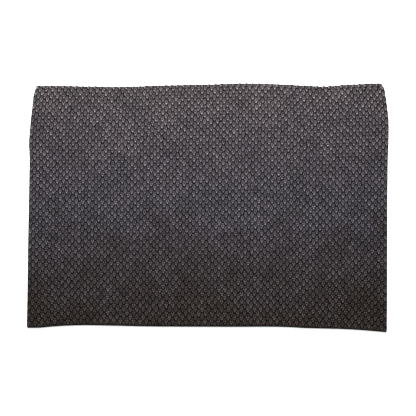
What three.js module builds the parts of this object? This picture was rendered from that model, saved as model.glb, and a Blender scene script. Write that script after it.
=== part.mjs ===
// An outdoor rug, woven in one piece from thick polypropylene cord and lying flat on the ground.
// The rug is one solid: the envelope of the whole cloth, down to its flat underside and up to the
// crowns of its cords. Its edges are uneven, as hand-laid cloth is, and its far end is scalloped where
// each pair of warp cords turns back in a loop.
// Millimetres, +Z up, +X along the long side, +Y towards the far, looped end.
// The origin is at the middle of the underside.

import * as THREE from "three";

// Nominal size, between the straight lines that the edges wander about.
const RUG_WIDTH = 890;
const RUG_DEPTH = 610;

// Two cords deep: warp over weft.
const THICKNESS = 8;

// The outer cords are round, so the rim is rounded above and below.
const RIM_ROUNDING = 2.6;
const RIM_STEPS = 2;

// One loop for each pair of warp cords along the far end.
const LOOPS = 55;
const LOOP_DEPTH = 1.6;
const POINTS_PER_LOOP = 4;

// Points along the two sides and the near end, which are smooth.
const SIDE_POINTS = 24;
const NEAR_POINTS = 30;

// How far each side stands out from the nominal line, from the far corner to the near one.
// A negative number is cloth drawn in.
const SIDE_LINE = [
  { y: 297, left: -10.0, right: -5.5 },
  { y: 282, left: -5.0, right: -3.5 },
  { y: 252, left: -2.5, right: 0.5 },
  { y: 208, left: 1.5, right: 4.0 },
  { y: 152, left: 4.5, right: 2.5 },
  { y: 116, left: 2.0, right: 0.5 },
  { y: 20, left: 1.5, right: -2.0 },
  { y: -120, left: 1.0, right: -4.5 },
  { y: -240, left: 0.0, right: -6.5 },
  { y: -306, left: 0.0, right: -8.0 },
];

// How far the far end stands out from the nominal line, from the left corner to the right one.
const FAR_LINE = [
  { x: -434, out: -4.5 },
  { x: -385, out: -4.0 },
  { x: -300, out: -5.5 },
  { x: -220, out: -6.0 },
  { x: -120, out: -2.0 },
  { x: 0, out: 1.0 },
  { x: 95, out: 4.0 },
  { x: 180, out: 2.0 },
  { x: 285, out: -3.0 },
  { x: 345, out: 1.0 },
  { x: 429, out: 5.0 },
];

// The same for the near end, whose corners flare out.
const NEAR_LINE = [
  { x: -443, out: 3.0 },
  { x: -412, out: 2.5 },
  { x: -370, out: -1.5 },
  { x: -310, out: -4.0 },
  { x: -220, out: -3.0 },
  { x: -140, out: -1.5 },
  { x: 60, out: -1.5 },
  { x: 170, out: -2.0 },
  { x: 240, out: 1.0 },
  { x: 330, out: 3.0 },
  { x: 390, out: 6.5 },
  { x: 436, out: 10.5 },
];

const CORD_COLOUR = "#4a4648";

// A smooth line through a table's rows, cut into equal steps.
function smoothLine(rows, toPoint, steps) {
  const curve = new THREE.SplineCurve(rows.map(toPoint));
  return curve.getSpacedPoints(steps);
}

// The far end, with a rounded scallop for each loop: full depth between two loops, none at a crown.
function farEnd() {
  const toPoint = (row) => new THREE.Vector2(row.x, RUG_DEPTH / 2 + row.out);
  const line = smoothLine(FAR_LINE, toPoint, LOOPS * POINTS_PER_LOOP);
  return line.map((point, step) => {
    const alongLoop = (step % POINTS_PER_LOOP) / POINTS_PER_LOOP;
    const dip = LOOP_DEPTH * (1 - Math.sin(Math.PI * alongLoop));
    return new THREE.Vector2(point.x, point.y - dip);
  });
}

// The outline, clockwise from the far left corner: far end, right side, near end, left side.
function rugOutline() {
  const onRight = (row) => new THREE.Vector2(RUG_WIDTH / 2 + row.right, row.y);
  const onNear = (row) => new THREE.Vector2(row.x, -RUG_DEPTH / 2 - row.out);
  const onLeft = (row) => new THREE.Vector2(-RUG_WIDTH / 2 - row.left, row.y);
  const right = smoothLine(SIDE_LINE, onRight, SIDE_POINTS);
  const near = smoothLine(NEAR_LINE, onNear, NEAR_POINTS);
  const left = smoothLine(SIDE_LINE, onLeft, SIDE_POINTS);
  return new THREE.Shape([...farEnd(), ...right, ...near.reverse(), ...left.reverse()]);
}

// The whole cloth as one closed slab with a rounded rim, centred on the origin and standing on z = 0.
function rugGeometry() {
  const geometry = new THREE.ExtrudeGeometry(rugOutline(), {
    depth: THICKNESS - 2 * RIM_ROUNDING,
    steps: 1,
    bevelEnabled: true,
    bevelThickness: RIM_ROUNDING,
    bevelSize: RIM_ROUNDING,
    bevelOffset: -RIM_ROUNDING,
    bevelSegments: RIM_STEPS,
  });
  geometry.computeBoundingBox();
  const { min, max } = geometry.boundingBox;
  geometry.translate(-(min.x + max.x) / 2, -(min.y + max.y) / 2, -min.z);
  return geometry;
}

const cordMaterial = new THREE.MeshStandardMaterial({
  color: CORD_COLOUR,
  roughness: 0.45,
  metalness: 0,
});

const rug = new THREE.Mesh(rugGeometry(), cordMaterial);
rug.name = "rug";

const outdoorRug = new THREE.Group();
outdoorRug.add(rug);

export default outdoorRug;
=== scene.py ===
# The looks of a woven outdoor rug: every cord of its plain weave, its looped far end, its turned sides
# and its heat-sealed near end.
# Metres, +Z up, +X along the long side, +Y towards the far, looped end.
import math

import bmesh
import bpy
import numpy as np
from bpy.props import FloatProperty, FloatVectorProperty, IntProperty, PointerProperty
from mathutils import Matrix, Vector


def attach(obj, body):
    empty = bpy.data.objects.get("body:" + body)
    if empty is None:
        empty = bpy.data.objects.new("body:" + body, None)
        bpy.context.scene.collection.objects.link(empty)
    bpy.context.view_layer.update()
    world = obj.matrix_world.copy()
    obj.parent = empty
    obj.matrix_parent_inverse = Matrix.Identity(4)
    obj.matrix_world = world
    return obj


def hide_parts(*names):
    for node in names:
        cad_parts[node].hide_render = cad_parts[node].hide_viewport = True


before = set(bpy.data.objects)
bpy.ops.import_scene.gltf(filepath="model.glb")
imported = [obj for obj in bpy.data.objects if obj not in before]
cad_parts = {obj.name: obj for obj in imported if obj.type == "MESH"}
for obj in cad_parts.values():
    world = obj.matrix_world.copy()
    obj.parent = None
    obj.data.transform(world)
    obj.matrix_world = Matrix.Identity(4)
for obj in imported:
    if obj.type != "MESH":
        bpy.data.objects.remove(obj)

bl_info = {
    "name": "Woven Outdoor Rug",
    "version": (1, 0, 0),
    "blender": (4, 5, 0),
    "location": "3D View > Sidebar > Rug",
    "description": "Weaves an outdoor rug from thick cord, around its packed solid",
    "category": "Add Mesh",
}

MM = 0.001

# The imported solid, its slot and its body.
CAD_NODE = "rug"
BODY = "root"

CORD = "braided polypropylene cord"

# Warp, seal and weft start their random numbers from this and the next two.
SEED = 41

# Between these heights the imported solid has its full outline, with its rim rounded above and below.
RIM_LOW = 2.5 * MM
RIM_HIGH = 5.5 * MM

# The rug's edges wander about straight lines this far from its middle. The cloth's middle is this high.
HALF_WIDTH = 445 * MM
HALF_DEPTH = 305 * MM
MIDDLE_HEIGHT = 4 * MM

# Cords wander in waves about 0.6, 0.4, 0.2 and 0.1 m long. x and y are a wave's radians per metre, lag
# sets it off from the others, and share is its part of the wander.
WANDER_WAVES = [
    {"x": 9.1, "y": 4.3, "lag": 1.0, "share": 0.35},
    {"x": -6.2, "y": 13.7, "lag": 2.1, "share": 0.35},
    {"x": 31.0, "y": -17.0, "lag": 3.7, "share": 0.15},
    {"x": 23.0, "y": 43.0, "lag": 0.6, "share": 0.15},
]
ACROSS_PHASE = 0.7
ALONG_PHASE = 2.9

# One warp cord over two picks, in steps of a quarter of a pick towards the near end. The third step is at
# the pick that it goes over, and the seventh at the pick that it goes under. It climbs out of the cloth
# wide, in two plies, rises slowly to a narrow crown and dives. rise is a share of the warp's rise, spread
# is half the distance between the plies, width is one ply's, and the last column scales the cord's colour,
# with painted highlights on its two lobes and crown and painted shade where it dives, and sets how
# smooth it is rubbed.
WARP_WAVE = [
    {"rise": 0.65, "spread": 2.55 * MM, "width": 4.6 * MM, "wear": 2.20},
    {"rise": 0.80, "spread": 1.80 * MM, "width": 3.8 * MM, "wear": 0.30},
    {"rise": 1.00, "spread": 0.75 * MM, "width": 3.1 * MM, "wear": 3.30},
    {"rise": 0.75, "spread": 0.80 * MM, "width": 2.8 * MM, "wear": 0.80},
    {"rise": -0.80, "spread": 1.20 * MM, "width": 3.0 * MM, "wear": 0.02},
    {"rise": -1.00, "spread": 1.70 * MM, "width": 3.6 * MM, "wear": 0.80},
    {"rise": -1.00, "spread": 1.90 * MM, "width": 3.9 * MM, "wear": 1.10},
    {"rise": -0.50, "spread": 2.40 * MM, "width": 4.4 * MM, "wear": 1.80},
]
STEPS_A_PICK = len(WARP_WAVE) // 2

# The same for a warp cord's turn at the far end. The lower its power, the squarer the loop is, as its
# neighbours squeeze it. The two loops at the corners are rounder.
# Its last value darkens the turns, the loops along the far edge.
TURN = {"spread": 1.2 * MM, "width": 3.2 * MM, "wear": 0.2}
LOOP_POWER = 0.45
CORNER_LOOP_POWER = 0.9
LOOP_STEPS = 5

# The weft lies level over or under a warp cord between these two places, and slopes from one cord to the
# next. Places, and its overhang past the outer cords, are shares of the way between two warp cords.
WEFT_STEPS = [-0.25, 0.25]
WEFT_OVERHANG = 0.22
# The weft's value is painted shade, as it lies below the warp's floats, and sets how smooth it is rubbed.
WEFT_PAINTED_SHADE_AND_WEAR = 0.66
TURN_STEPS = 3

# How much the warp's floats differ in width, and how much they sink, as shares.
FLOAT_SWELL = 0.05
FLOAT_SINK = 0.06

# The bead of melted cord: its gap over the floor, how lumpy it is, how many steps long a lump is, and the
# size of its blunt ends as a share of the rest.
SEAL_GAP = 0.4 * MM
SEAL_LUMPS = 0.04
LUMP_STEPS = 5
SEAL_ENDS = 0.9
SEAL_STEPS = 320

# Cords are hexagonal in section and shaded smooth. The warp is several pieces, so that each stays small.
CORD_SIDES = 6
WARP_PIECES = 4

# A noise's spots are about this share of its cell wide, and a wave's bands are this wide at a scale of 1.
NOISE_SPOT = 0.8
WAVE_BAND = math.pi / 10

# How far the floor reaches each way, how much its paper glows, and how far inside the rug's edges the
# shaded part of it ends.
FLOOR_REACH = 8.0
FLOOR_GLOW = 0.85
SHADE_INSET = 25 * MM

# Where the camera and the key light point, and the light's place and size.
CAMERA_AIM = (-1.9 * MM, -5.9 * MM, MIDDLE_HEIGHT)
KEY_AIM = (-0.03, 0.40, 0.0)
KEY_PLACE = (-0.03, 0.45, 0.9)
KEY_SIZE = (1.4, 0.25)


def linear(colour):
    """The linear colour of an sRGB hex value."""
    channels = [int(colour[k:k + 2], 16) / 255 for k in (1, 3, 5)]
    return [c / 12.92 if c <= 0.04045 else ((c + 0.055) / 1.055) ** 2.4 for c in channels]


def add_node(tree, kind, inputs=None, links=None, **settings):
    """Adds a node with its settings, its input values and the links that feed it."""
    node = tree.nodes.new(kind)
    for name, value in settings.items():
        setattr(node, name, value)
    for socket, value in (inputs or {}).items():
        node.inputs[socket].default_value = value
    for socket, source in (links or {}).items():
        tree.links.new(source, node.inputs[socket])
    return node


def length(name, description, default):
    """A size in metres that the sidebar shows in the scene's unit."""
    return FloatProperty(
        name=name, description=description, default=default, subtype="DISTANCE", unit="LENGTH"
    )


def colour(name, description, default):
    """A colour, with its default as an sRGB hex value."""
    return FloatVectorProperty(
        name=name, description=description, default=linear(default), subtype="COLOR",
        size=3, min=0, max=1,
    )


class RugWeave(bpy.types.PropertyGroup):
    """Sizes of the weave."""

    warp_cords: IntProperty(
        name="Warp cords", description="Cords from end to end, an even number", default=110, min=2
    )
    picks: IntProperty(
        name="Picks", description="Rows of weft cord, an odd number", default=67, min=3
    )
    cord_thickness: length("Cord thickness", "Height of a warp cord's section", 3.2 * MM)
    warp_rise: length("Warp rise", "How far a warp cord's middle leaves the cloth's middle", 2.2 * MM)
    weft_rise: length("Weft rise", "How far a weft cord's middle leaves the cloth's middle", 0.6 * MM)
    weft_share: FloatProperty(
        name="Weft share", description="A weft cord's width, as a share of the way to the next", default=1.03
    )
    weft_thickness: length("Weft thickness", "Height of a weft cord's section", 2.2 * MM)
    turn_width: length("Turn width", "Width of the weft where it turns at the side", 2.6 * MM)
    selvedge: length("Selvedge", "From the side to the middle of the outer warp cord", 5.0 * MM)
    far_margin: length("Far margin", "From the far end to the first pick", 5.3 * MM)
    near_margin: length("Near margin", "From the near end to the last pick", 8.0 * MM)
    near_slack: FloatProperty(
        name="Near slack", description="How much looser the picks lie at the near end", default=0.039
    )
    wander: length("Wander", "How far hand-laid rows and cords drift out of line", 0.9 * MM)
    jitter: length("Jitter", "How far single floats lie off their place", 0.3 * MM)
    seal_width: length("Seal width", "Width of the melted bead at the near end", 4.6 * MM)
    seal_height: length("Seal height", "Height of the melted bead at the near end", 6.0 * MM)


class RugColours(bpy.types.PropertyGroup):
    """Colours of the cord."""

    # The far colour is paler, partly painted light, and the near colour darker, partly painted shade, as the
    # light falls off from the far end to the near one.
    far: colour("Far end", "Paler, partly painted light", "#353032")
    middle: colour("Middle", "The cord's own purplish charcoal", "#302d32")
    near: colour("Near end", "Browned by wear", "#27201d")
    seal: colour("Seal", "Melted and blackened cord", "#0e0c0c")
    floor: colour("Floor", "The pale floor", "#f6f6f6")


class RugStage(bpy.types.PropertyGroup):
    """The camera and the light."""

    camera_distance: length("Camera distance", "From the camera to the rug", 3.955)
    camera_tilt: FloatProperty(
        name="Camera tilt", description="From straight down", default=math.radians(9), subtype="ANGLE"
    )
    camera_roll: FloatProperty(
        name="Camera roll", description="Turn about the view", default=math.radians(0.21),
        subtype="ANGLE",
    )
    lens: FloatProperty(
        name="Lens", description="Focal length in millimetres", default=138.15, subtype="DISTANCE_CAMERA"
    )
    key_power: FloatProperty(name="Key light", description="Power in watts", default=35, unit="POWER")
    fill: FloatProperty(name="Fill light", description="Strength of the light from all round", default=0.1)


def rim_of(node):
    """The rug's four edges in plan, each as sorted places and how far out the edge lies there."""
    points = np.array([vertex.co for vertex in node.data.vertices])
    rim = points[(points[:, 2] > RIM_LOW) & (points[:, 2] < RIM_HIGH)]
    rim = np.unique(np.round(rim[:, :2], 6), axis=0)
    rim = rim[np.argsort(np.arctan2(rim[:, 1], rim[:, 0]))]
    # The corners reach furthest in directions that are steeper than a diagonal.
    near_left, near_right, far_right, far_left = [
        np.argmax(rim @ toward) for toward in ((-2, -3), (2, -3), (2, 3), (-2, 3))
    ]
    x, y = rim[near_left:near_right + 1].T
    lines = {"near": (x, y)}
    x, y = rim[near_right:far_right + 1].T
    lines["right"] = (y, x)
    x, y = np.concatenate([rim[far_left:], rim[:near_left + 1]])[::-1].T
    lines["left"] = (y, x)
    # The far end's line is only the crests of its scallops, where the cords turn back.
    x, y = rim[far_right:far_left + 1][::-1].T
    crests = (y[1:-1] > y[:-2]) & (y[1:-1] > y[2:])
    lines["far"] = (x[1:-1][crests], y[1:-1][crests])
    return lines


def drift(x, y, size, phase):
    """A slow wander over the cloth, the same for neighbouring cords."""
    waves = [w["share"] * np.sin(w["x"] * x + w["y"] * y + w["lag"] * phase) for w in WANDER_WAVES]
    return size * sum(waves)


def cloth_point(weave, rim, warp, pick):
    """Where a warp cord and a pick cross in plan. Both may be fractions, also outside the cloth."""
    across = warp / (weave.warp_cords - 1)
    along = pick / (weave.picks - 1)
    # The picks lie looser towards the near end, most of all in its last quarter.
    along = (1 - weave.near_slack) * along + weave.near_slack * along ** 4
    straight = (2 * across - 1) * (HALF_WIDTH - weave.selvedge)
    far = np.interp(straight, *rim["far"]) - weave.far_margin
    near = np.interp(straight, *rim["near"]) + weave.near_margin
    y = far + (near - far) * along
    left = np.interp(y, *rim["left"]) + weave.selvedge
    right = np.interp(y, *rim["right"]) - weave.selvedge
    x = left + (right - left) * across
    # The outer quarters wander less and less towards the edges.
    inside_across = np.clip(4 * np.minimum(across, 1 - across), 0, 1)
    inside = inside_across * np.clip(4 * np.minimum(along, 1 - along), 0, 1)
    x = x + inside * drift(x, y, weave.wander, ACROSS_PHASE)
    y = y + inside * drift(x, y, weave.wander, ALONG_PHASE)
    return x, y


def tube_sections(path, spread, width, thickness, start=0.0):
    """Rings of points about each path, as paths x rings x sides x 3.

    spread moves a ring aside, on the level, and start turns it, in sides.
    """
    along = np.gradient(path, axis=1)
    along /= np.linalg.norm(along, axis=2, keepdims=True)
    side = np.stack([-along[..., 1], along[..., 0], np.zeros_like(along[..., 0])], axis=2)
    side /= np.linalg.norm(side, axis=2, keepdims=True)
    up = np.cross(along, side)
    angle = (np.arange(CORD_SIDES) + start) * 2 * math.pi / CORD_SIDES
    aside = (spread[..., None] + width[..., None] / 2 * np.cos(angle))[..., None]
    rise = (thickness[..., None] / 2 * np.sin(angle))[..., None]
    return path[:, :, None] + side[:, :, None] * aside + up[:, :, None] * rise


def tube_object(name, sections, **shading):
    """One mesh of closed tubes from their rings, with shading's value for each ring.

    Its UV map holds the way along the cord and round it, in metres.
    """
    tubes, rings, sides, _ = sections.shape
    first = np.arange(tubes)[:, None, None] * rings * sides
    ring = np.arange(rings - 1)[None, :, None] * sides
    here = np.arange(sides)[None, None, :]
    there = (here + 1) % sides
    corners = [ring + here, ring + there, ring + sides + there, ring + sides + here]
    quads = np.stack([first + c for c in corners], axis=-1).reshape(-1, 4)
    start_cap = (first[..., 0] + np.arange(sides)[::-1]).reshape(-1, sides)
    end_cap = (first[..., 0] + (rings - 1) * sides + np.arange(sides)).reshape(-1, sides)
    loops = np.concatenate([quads.ravel(), start_cap.ravel(), end_cap.ravel()])
    sizes = np.concatenate([np.full(len(quads), 4), np.full(2 * tubes, sides)])
    starts = np.concatenate([[0], np.cumsum(sizes)[:-1]])

    mesh = bpy.data.meshes.new(name)
    mesh.vertices.add(tubes * rings * sides)
    mesh.vertices.foreach_set("co", sections.astype(np.float32).ravel())
    mesh.loops.add(len(loops))
    mesh.loops.foreach_set("vertex_index", loops.astype(np.int32))
    mesh.polygons.add(len(sizes))
    mesh.polygons.foreach_set("loop_start", starts.astype(np.int32))
    mesh.polygons.foreach_set("use_smooth", sizes == 4)

    middle = sections.mean(axis=2)
    steps = np.linalg.norm(np.diff(middle, axis=1), axis=2)
    run = np.concatenate([np.zeros((tubes, 1)), np.cumsum(steps, axis=1)], axis=1)
    girth = np.linalg.norm(np.diff(sections[:, :, [*range(sides), 0]], axis=2), axis=3).sum(axis=2).mean()
    u = np.stack([run[:, :-1], run[:, :-1], run[:, 1:], run[:, 1:]], axis=-1)
    u = np.repeat(u[:, :, None], sides, axis=2)
    v = np.stack([here, here + 1, here + 1, here], axis=-1) * girth / sides
    v = np.broadcast_to(v, u.shape)
    uv = np.zeros((len(loops), 2), np.float32)
    uv[:quads.size] = np.stack([u, v], axis=-1).reshape(-1, 2)
    mesh.uv_layers.new(name="cord").data.foreach_set("uv", uv.ravel())
    for attribute, values in shading.items():
        stored = mesh.attributes.new(attribute, "FLOAT", "POINT")
        stored.data.foreach_set("value", np.repeat(values.ravel(), sides).astype(np.float32))
    mesh.update(calc_edges=True)
    mesh.validate()

    piece = bpy.data.objects.new(name, mesh)
    bpy.context.scene.collection.objects.link(piece)
    return piece


def warp_pairs(weave, rim, pairs, chance):
    """Paths and sections of pairs of warp cords, each pair one cord that turns back at the far end."""
    # From the first pick to half a pick past the last, inside the sealed end.
    step = np.arange(STEPS_A_PICK * weave.picks - STEPS_A_PICK // 2 + 1)
    place = step / STEPS_A_PICK
    crossing = np.floor(place + 0.5).astype(int)
    cords = np.stack([2 * pairs, 2 * pairs + 1], axis=1)
    x, y = cloth_point(weave, rim, cords[..., None].astype(float), place[None, None])
    row = (step + STEPS_A_PICK // 2 + STEPS_A_PICK * (cords[..., None] % 2)) % len(WARP_WAVE)
    wave = {name: np.array([r[name] for r in WARP_WAVE])[row] for name in WARP_WAVE[0]}

    # Each float differs a little in width, height, tone and place.
    by_float = (*cords.shape, weave.picks + 1)
    swell = 1 + FLOAT_SWELL * chance.standard_normal(by_float)[..., crossing]
    lift = 1 - FLOAT_SINK * np.abs(chance.standard_normal(by_float))[..., crossing]
    tone = chance.uniform(-1, 1, by_float)[..., crossing]
    x = x + weave.jitter * chance.standard_normal(by_float)[..., crossing]
    y = y + weave.jitter * chance.standard_normal(by_float)[..., crossing]
    z = MIDDLE_HEIGHT + weave.warp_rise * wave["rise"] * lift
    spread = wave["spread"] * swell
    width = wave["width"] * swell

    # The turn joins the pair's two cords, one over the first pick and one under it.
    turn = np.arange(1, LOOP_STEPS + 1) / (LOOP_STEPS + 1) * math.pi
    ahead = weave.far_margin - TURN["spread"] - TURN["width"] / 2
    start = np.stack([x[:, 0, 0], y[:, 0, 0], z[:, 0, 0]], axis=-1)
    end = np.stack([x[:, 1, 0], y[:, 1, 0], z[:, 1, 0]], axis=-1)
    at_corner = (pairs == 0) | (pairs == weave.warp_cords // 2 - 1)
    power = np.where(at_corner, CORNER_LOOP_POWER, LOOP_POWER)[:, None]
    aside = np.sign(np.cos(turn)) * np.abs(np.cos(turn)) ** power
    loop = (start + end)[:, None] / 2 + (start - end)[:, None] / 2 * aside[..., None]
    loop[..., 1] += ahead * np.sin(turn) ** power

    def whole(values, at_turn):
        """Values up one cord of each pair, round its turn and down the other."""
        return np.concatenate([values[:, 0, ::-1], at_turn, values[:, 1]], axis=1)

    path = np.stack([whole(x, loop[..., 0]), whole(y, loop[..., 1]), whole(z, loop[..., 2])], axis=-1)
    at_turn = np.ones((len(pairs), LOOP_STEPS))
    wear = whole(wave["wear"], at_turn * TURN["wear"])
    spread = whole(spread, at_turn * TURN["spread"])
    width = whole(width, at_turn * TURN["width"])
    tone = whole(tone, at_turn * 0)
    return path, spread, width, tone, wear


def weft_line(weave, rim, chance):
    """The one weft cord's points, to and fro through every pick: their places, widths and tones."""
    cords = np.arange(weave.warp_cords)
    picks = np.arange(weave.picks)[:, None]
    steps = (cords[:, None] + np.array(WEFT_STEPS)).ravel()
    steps[0] -= WEFT_OVERHANG
    steps[-1] += WEFT_OVERHANG
    steps = np.broadcast_to(steps, (weave.picks, len(steps)))
    x, y = cloth_point(weave, rim, steps, picks.astype(float))
    crossing = np.repeat(cords, len(WEFT_STEPS))
    over = np.where((crossing + picks) % 2 == 0, -1.0, 1.0)
    z = MIDDLE_HEIGHT + over * weave.weft_rise
    # Each pick is as wide as the room that its neighbours leave it.
    _, before = cloth_point(weave, rim, steps, picks - 0.5)
    _, after = cloth_point(weave, rim, steps, picks + 0.5)
    width = weave.weft_share * (before - after)
    tone = chance.uniform(-1, 1, (weave.picks, weave.warp_cords)).repeat(len(WEFT_STEPS), axis=1)
    rows = np.stack([x, y, z, width, tone], axis=-1)
    # Every second pick runs back.
    rows[1::2] = rows[1::2, ::-1]

    turn = np.arange(1, TURN_STEPS + 1) / (TURN_STEPS + 1) * math.pi
    strands = [rows[0]]
    for number, (row, following) in enumerate(zip(rows, rows[1:])):
        start, end = row[-1], following[0]
        bend = (start + end) / 2 + (start - end) / 2 * np.cos(turn)[:, None]
        side = "right" if number % 2 == 0 else "left"
        edge = np.interp(bend[:, 1], *rim[side])
        inward = -1 if side == "right" else 1
        room = edge + inward * weave.turn_width / 2 - bend[:, 0]
        bend[:, 0] += room * np.sin(turn)
        bend[:, 3] = weave.turn_width
        strands += [bend, following]

    # Its end turns down the right side and into the sealed bead.
    last = rows[-1, -1]
    bottom = np.interp(last[0], *rim["near"]) + weave.seal_width / 2
    y = last[1] + (bottom - last[1]) * np.array([0.5, 1])
    x = np.interp(y, *rim["right"]) - weave.turn_width / 2
    tail = [x, y, np.full_like(y, MIDDLE_HEIGHT), np.full_like(y, weave.turn_width), np.zeros_like(y)]
    strands.append(np.stack(tail, axis=-1))
    return np.concatenate(strands)[None]


def cord_material(name, colours):
    """Polypropylene fibre, spun in strands and braided to a cord.

    Spinning and braiding give it fine slanting strands. Rubbing makes its crowns smooth and shiny, and its
    hollows stay dull. Its colour carries painted highlights and glints on the crowns and lobes and painted
    shade in the hollows. Its IOR is below the plastic's 1.49, because dust dulls it.
    """
    material = bpy.data.materials.new(name)
    material.use_nodes = True
    tree = material.node_tree
    tree.nodes.clear()

    place = add_node(tree, "ShaderNodeTexCoord")
    axes = add_node(tree, "ShaderNodeSeparateXYZ", links={0: place.outputs["Object"]})
    reach = add_node(
        tree, "ShaderNodeMapRange",
        inputs={"From Min": -HALF_DEPTH, "From Max": HALF_DEPTH},
        links={"Value": axes.outputs["Y"]},
    )
    patches = add_node(
        tree, "ShaderNodeTexNoise", inputs={"Scale": NOISE_SPOT / (72.7 * MM), "Detail": 3},
        links={"Vector": place.outputs["Object"]},
    )

    # The colour darkens and browns from the far end to the near one, the darkening partly painted shade of
    # the light falling off. Worn patches about 73 mm wide shift it both ways.
    shifted = add_node(
        tree, "ShaderNodeMath", operation="MULTIPLY_ADD", inputs={1: 0.6},
        links={0: patches.outputs["Fac"], 2: reach.outputs[0]},
    )
    centred = add_node(
        tree, "ShaderNodeMath", operation="SUBTRACT", inputs={1: 0.3}, links={0: shifted.outputs[0]}
    )
    tint = add_node(tree, "ShaderNodeValToRGB", links={"Fac": centred.outputs[0]})
    stops = tint.color_ramp.elements
    stops[0].color = (*colours.near, 1)
    stops[1].color = (*colours.far, 1)
    stops.new(0.5).color = (*colours.middle, 1)

    # Painted shade: cord within 1.1 mm of the cloth's middle height, down in the hollows, is painted black,
    # and cord grows paler towards either face.
    above = add_node(
        tree, "ShaderNodeMath", operation="SUBTRACT", inputs={1: MIDDLE_HEIGHT},
        links={0: axes.outputs["Z"]},
    )
    away = add_node(tree, "ShaderNodeMath", operation="ABSOLUTE", links={0: above.outputs[0]})
    painted_hollow_shade = add_node(
        tree, "ShaderNodeMapRange",
        inputs={"From Min": 1.1 * MM, "From Max": 1.6 * MM, "To Min": 0.0, "To Max": 1.22},
        links={"Value": away.outputs[0]},
    )
    # Each ring's stored value scales the colour: painted highlights on the warp's lobes and crowns, painted
    # shade where it dives.
    wear = add_node(tree, "ShaderNodeAttribute", attribute_name="wear")
    painted_highlight_and_shade = add_node(
        tree, "ShaderNodeMath", operation="MULTIPLY", links={0: painted_hollow_shade.outputs[0], 1: wear.outputs["Fac"]}
    )

    # Each float and each patch of the rug has its own tone.
    tone = add_node(tree, "ShaderNodeAttribute", attribute_name="tone")
    toned = add_node(
        tree, "ShaderNodeMapRange",
        inputs={"From Min": -1, "From Max": 1, "To Min": 0.7, "To Max": 1.3},
        links={"Value": tone.outputs["Fac"]},
    )
    patched = add_node(
        tree, "ShaderNodeMapRange",
        inputs={"From Min": 0.3, "From Max": 0.7, "To Min": 0.88, "To Max": 1.12},
        links={"Value": patches.outputs["Fac"]},
    )

    # Painted glints: pale specks 1.8 mm wide, painted into the colour where single fibres would catch the
    # light, as real glints are too fine to show.
    painted_glint_noise = add_node(
        tree, "ShaderNodeTexNoise", inputs={"Scale": NOISE_SPOT / (1.8 * MM), "Detail": 1},
        links={"Vector": place.outputs["Object"]},
    )
    painted_glints = add_node(
        tree, "ShaderNodeMapRange",
        inputs={"From Min": 0.4, "From Max": 0.7, "To Min": 0.65, "To Max": 2.0},
        links={"Value": painted_glint_noise.outputs["Fac"]},
    )

    # Strands of spun fibre, 0.8 mm apart, that wind round each ply.
    lengths = add_node(tree, "ShaderNodeUVMap", uv_map="cord")
    lay = add_node(
        tree, "ShaderNodeMapping", inputs={"Rotation": (0, 0, math.radians(65))},
        links={"Vector": lengths.outputs["UV"]},
    )
    strands = add_node(
        tree, "ShaderNodeTexWave",
        inputs={"Scale": WAVE_BAND / (0.8 * MM), "Distortion": 1.2, "Detail": 1, "Detail Scale": 0.6},
        links={"Vector": lay.outputs[0]},
    )
    # Painted shade darkens the grooves between the strands.
    painted_groove_shade = add_node(
        tree, "ShaderNodeMapRange", inputs={"To Min": 0.78, "To Max": 1.05},
        links={"Value": strands.outputs["Fac"]},
    )

    # The colour's factor is this painted highlight and shade, times the random tones, the painted glints and
    # the painted shade between strands.
    shade = painted_highlight_and_shade
    for factor in (toned, patched, painted_glints, painted_groove_shade):
        shade = add_node(
            tree, "ShaderNodeMath", operation="MULTIPLY", links={0: shade.outputs[0], 1: factor.outputs[0]}
        )
    finish = add_node(
        tree, "ShaderNodeVectorMath", operation="SCALE",
        links={0: tint.outputs["Color"], "Scale": shade.outputs[0]},
    )
    relief = add_node(
        tree, "ShaderNodeBump", inputs={"Strength": 0.7, "Distance": 0.15 * MM},
        links={"Height": strands.outputs["Fac"]},
    )
    smoothed = add_node(
        tree, "ShaderNodeMapRange",
        inputs={"From Max": 2.2, "To Min": 0.95, "To Max": 0.25},
        links={"Value": wear.outputs["Fac"]},
    )
    shader = add_node(
        tree, "ShaderNodeBsdfPrincipled", inputs={"IOR": 1.25},
        links={
            "Base Color": finish.outputs[0], "Roughness": smoothed.outputs[0], "Normal": relief.outputs[0],
        },
    )
    add_node(tree, "ShaderNodeOutputMaterial", links={"Surface": shader.outputs[0]})
    return material


def seal_material(name, colours):
    """Polypropylene melted at the cut end, which sets black, with lumps 4 mm wide and a dull shine."""
    material = bpy.data.materials.new(name)
    material.use_nodes = True
    tree = material.node_tree
    tree.nodes.clear()
    place = add_node(tree, "ShaderNodeTexCoord")
    lumps = add_node(
        tree, "ShaderNodeTexNoise", inputs={"Scale": NOISE_SPOT / (4 * MM), "Detail": 2},
        links={"Vector": place.outputs["Object"]},
    )
    char = add_node(
        tree, "ShaderNodeMapRange", inputs={"To Min": 0.6, "To Max": 1.5},
        links={"Value": lumps.outputs["Fac"]},
    )
    finish = add_node(
        tree, "ShaderNodeVectorMath", operation="SCALE",
        inputs={0: colours.seal}, links={"Scale": char.outputs[0]},
    )
    gloss = add_node(
        tree, "ShaderNodeMapRange", inputs={"To Min": 0.6, "To Max": 0.9},
        links={"Value": lumps.outputs["Fac"]},
    )
    relief = add_node(
        tree, "ShaderNodeBump", inputs={"Strength": 0.8, "Distance": 0.4 * MM},
        links={"Height": lumps.outputs["Fac"]},
    )
    shader = add_node(
        tree, "ShaderNodeBsdfPrincipled", inputs={"IOR": 1.2},
        links={"Base Color": finish.outputs[0], "Roughness": gloss.outputs[0], "Normal": relief.outputs[0]},
    )
    add_node(tree, "ShaderNodeOutputMaterial", links={"Surface": shader.outputs[0]})
    return material


def finished(piece, material):
    """Gives a piece its material and lets it ride on the rug's body."""
    piece.data.materials.append(material)
    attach(piece, BODY)


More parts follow.
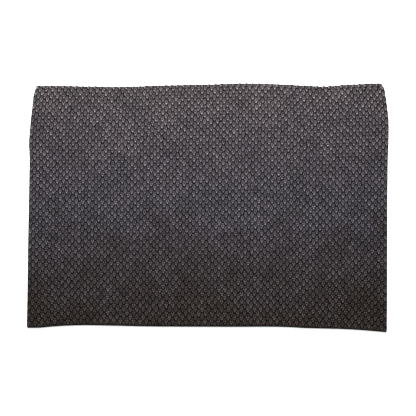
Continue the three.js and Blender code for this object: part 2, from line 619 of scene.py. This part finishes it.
def lay_floor(scene):
    """Lays white paper, which glows so that it is white all over, but not where the rug shades it."""
    form = bmesh.new()
    bmesh.ops.create_grid(form, x_segments=3, y_segments=3, size=FLOOR_REACH)
    shaded = [v for v in form.verts if max(abs(v.co.x), abs(v.co.y)) < FLOOR_REACH / 2]
    for corner in shaded:
        corner.co.x = math.copysign(HALF_WIDTH - SHADE_INSET, corner.co.x)
        corner.co.y = math.copysign(HALF_DEPTH - SHADE_INSET, corner.co.y)
    for face in form.faces:
        face.material_index = int(all(corner in shaded for corner in face.verts))
    mesh = bpy.data.meshes.new("floor")
    form.to_mesh(mesh)
    form.free()
    floor = bpy.data.objects.new("floor", mesh)
    scene.collection.objects.link(floor)

    # Uncoated paper is rough and has almost no shine.
    for name, glow in (("matt white paper", FLOOR_GLOW), ("shaded paper", 0.0)):
        paper = bpy.data.materials.new(name)
        paper.use_nodes = True
        shader = paper.node_tree.nodes["Principled BSDF"]
        shader.inputs["Base Color"].default_value = (*scene.rug_colours.floor, 1)
        shader.inputs["Roughness"].default_value = 0.9
        shader.inputs["Specular IOR Level"].default_value = 0.1
        shader.inputs["Emission Color"].default_value = (1, 1, 1, 1)
        shader.inputs["Emission Strength"].default_value = glow
        mesh.materials.append(paper)


def set_camera(scene):
    """Looks down on the rug through a long lens, from a little to the near side."""
    stage = scene.rug_stage
    back = Vector((0, -math.sin(stage.camera_tilt), math.cos(stage.camera_tilt)))
    right = Vector((1, 0, 0))
    up = back.cross(right)
    turned_right = right * math.cos(stage.camera_roll) + up * math.sin(stage.camera_roll)
    turned_up = back.cross(turned_right)
    optics = bpy.data.cameras.new("camera")
    optics.lens = stage.lens
    optics.sensor_width = 36
    camera = bpy.data.objects.new("camera", optics)
    turn = Matrix((turned_right, turned_up, back)).transposed().to_4x4()
    camera.matrix_world = Matrix.Translation(Vector(CAMERA_AIM) + back * stage.camera_distance) @ turn
    scene.collection.objects.link(camera)
    scene.camera = camera
    scene.view_settings.view_transform = "Standard"


def set_lights(scene):
    """Hangs one long light over the far end, which the camera doesn't see, in weak light from all round."""
    light = bpy.data.lights.new("key", "AREA")
    light.shape = "RECTANGLE"
    light.size, light.size_y = KEY_SIZE
    light.energy = scene.rug_stage.key_power
    lamp = bpy.data.objects.new("key", light)
    lamp.location = KEY_PLACE
    lamp.rotation_euler = (Vector(KEY_AIM) - Vector(KEY_PLACE)).to_track_quat("-Z", "Y").to_euler()
    lamp.visible_camera = False
    scene.collection.objects.link(lamp)

    world = bpy.data.worlds.new("studio")
    world.use_nodes = True
    around = world.node_tree.nodes["Background"]
    around.inputs["Color"].default_value = (1, 1, 1, 1)
    around.inputs["Strength"].default_value = scene.rug_stage.fill
    scene.world = world


class RUG_OT_stage(bpy.types.Operator):
    """Lay the floor and set the camera and the lights"""

    bl_idname = "rug.stage"
    bl_label = "Set the Stage"

    def execute(self, context):
        lay_floor(context.scene)
        set_camera(context.scene)
        set_lights(context.scene)
        return {"FINISHED"}


class RUG_OT_warp(bpy.types.Operator):
    """Make the warp cords, in pairs that turn back at the far end"""

    bl_idname = "rug.warp"
    bl_label = "Make the Warp"

    def execute(self, context):
        weave = context.scene.rug_weave
        rim = rim_of(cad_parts[CAD_NODE])
        material = cord_material(CORD, context.scene.rug_colours)
        chance = np.random.default_rng(SEED)
        shares = np.array_split(np.arange(weave.warp_cords // 2), WARP_PIECES)
        for number, pairs in enumerate(shares, 1):
            path, spread, width, tone, wear = warp_pairs(weave, rim, pairs, chance)
            thick = np.full(spread.shape, weave.cord_thickness)
            # The two plies of each cord lie on either side of its path.
            plies = [tube_sections(path, aside, width, thick, start=0.5) for aside in (spread, -spread)]
            rings = np.concatenate(plies)
            tone = np.concatenate([tone, tone])
            wear = np.concatenate([wear, wear])
            finished(tube_object(f"warp_cords_{number}", rings, tone=tone, wear=wear), material)
        return {"FINISHED"}


class RUG_OT_seal(bpy.types.Operator):
    """Melt the near end's cords into one bead"""

    bl_idname = "rug.seal"
    bl_label = "Seal the Near End"

    def execute(self, context):
        weave = context.scene.rug_weave
        rim = rim_of(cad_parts[CAD_NODE])
        chance = np.random.default_rng(SEED + 1)
        place, out = rim["near"]
        reach = np.linspace(place[0], place[-1], SEAL_STEPS)
        lump = chance.standard_normal(SEAL_STEPS + LUMP_STEPS - 1)
        lump = np.convolve(lump, np.ones(LUMP_STEPS) / LUMP_STEPS, mode="valid")
        y = np.interp(reach, place, out) + weave.seal_width / 2
        z = np.full_like(reach, SEAL_GAP + weave.seal_height / 2)
        path = np.stack([reach, y, z], axis=-1)[None]
        swell = 1 + SEAL_LUMPS * lump
        swell[[0, -1]] *= SEAL_ENDS
        width = (weave.seal_width * swell)[None]
        thick = (weave.seal_height * swell)[None]
        rings = tube_sections(path, np.zeros_like(width), width, thick)
        material = seal_material("melted polypropylene", context.scene.rug_colours)
        finished(tube_object("sealed_end", rings), material)
        return {"FINISHED"}


class RUG_OT_weft(bpy.types.Operator):
    """Lay the weft, one cord that runs to and fro through every pick"""

    bl_idname = "rug.weft"
    bl_label = "Lay the Weft"

    def execute(self, context):
        weave = context.scene.rug_weave
        rim = rim_of(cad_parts[CAD_NODE])
        line = weft_line(weave, rim, np.random.default_rng(SEED + 2))
        # A hexagon that is flat above and below is lower than the circle about its corners, by this sine.
        thick = np.full(line.shape[:2], weave.weft_thickness) / math.sin(math.pi / 3)
        rings = tube_sections(line[..., :3], np.zeros_like(thick), line[..., 3], thick)
        wear = np.full_like(thick, WEFT_PAINTED_SHADE_AND_WEAR)
        piece = tube_object("weft_cord", rings, tone=line[..., 4], wear=wear)
        finished(piece, bpy.data.materials[CORD])
        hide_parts(CAD_NODE)
        return {"FINISHED"}


class RUG_PT_panel(bpy.types.Panel):
    """The rug's sizes and steps, in the 3D view's sidebar"""

    bl_idname = "RUG_PT_panel"
    bl_label = "Woven Outdoor Rug"
    bl_space_type = "VIEW_3D"
    bl_region_type = "UI"
    bl_category = "Rug"

    def draw(self, context):
        layout = self.layout
        for group in (context.scene.rug_weave, context.scene.rug_colours, context.scene.rug_stage):
            box = layout.box()
            for name in group.__annotations__:
                box.prop(group, name)
        for step in STEPS:
            layout.operator(step.bl_idname)


STEPS = (RUG_OT_stage, RUG_OT_warp, RUG_OT_seal, RUG_OT_weft)
GROUPS = {"rug_weave": RugWeave, "rug_colours": RugColours, "rug_stage": RugStage}


def register():
    for group in GROUPS.values():
        bpy.utils.register_class(group)
    for name, group in GROUPS.items():
        setattr(bpy.types.Scene, name, PointerProperty(type=group))
    for step in STEPS:
        bpy.utils.register_class(step)
    bpy.utils.register_class(RUG_PT_panel)


def unregister():
    bpy.utils.unregister_class(RUG_PT_panel)
    for step in reversed(STEPS):
        bpy.utils.unregister_class(step)
    for name in GROUPS:
        delattr(bpy.types.Scene, name)
    for group in reversed(GROUPS.values()):
        bpy.utils.unregister_class(group)


def main():
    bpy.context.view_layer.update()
    register()
    bpy.ops.rug.stage()
    bpy.ops.rug.warp()
    bpy.ops.rug.seal()
    bpy.ops.rug.weft()


if __name__ == "__main__":
    main()
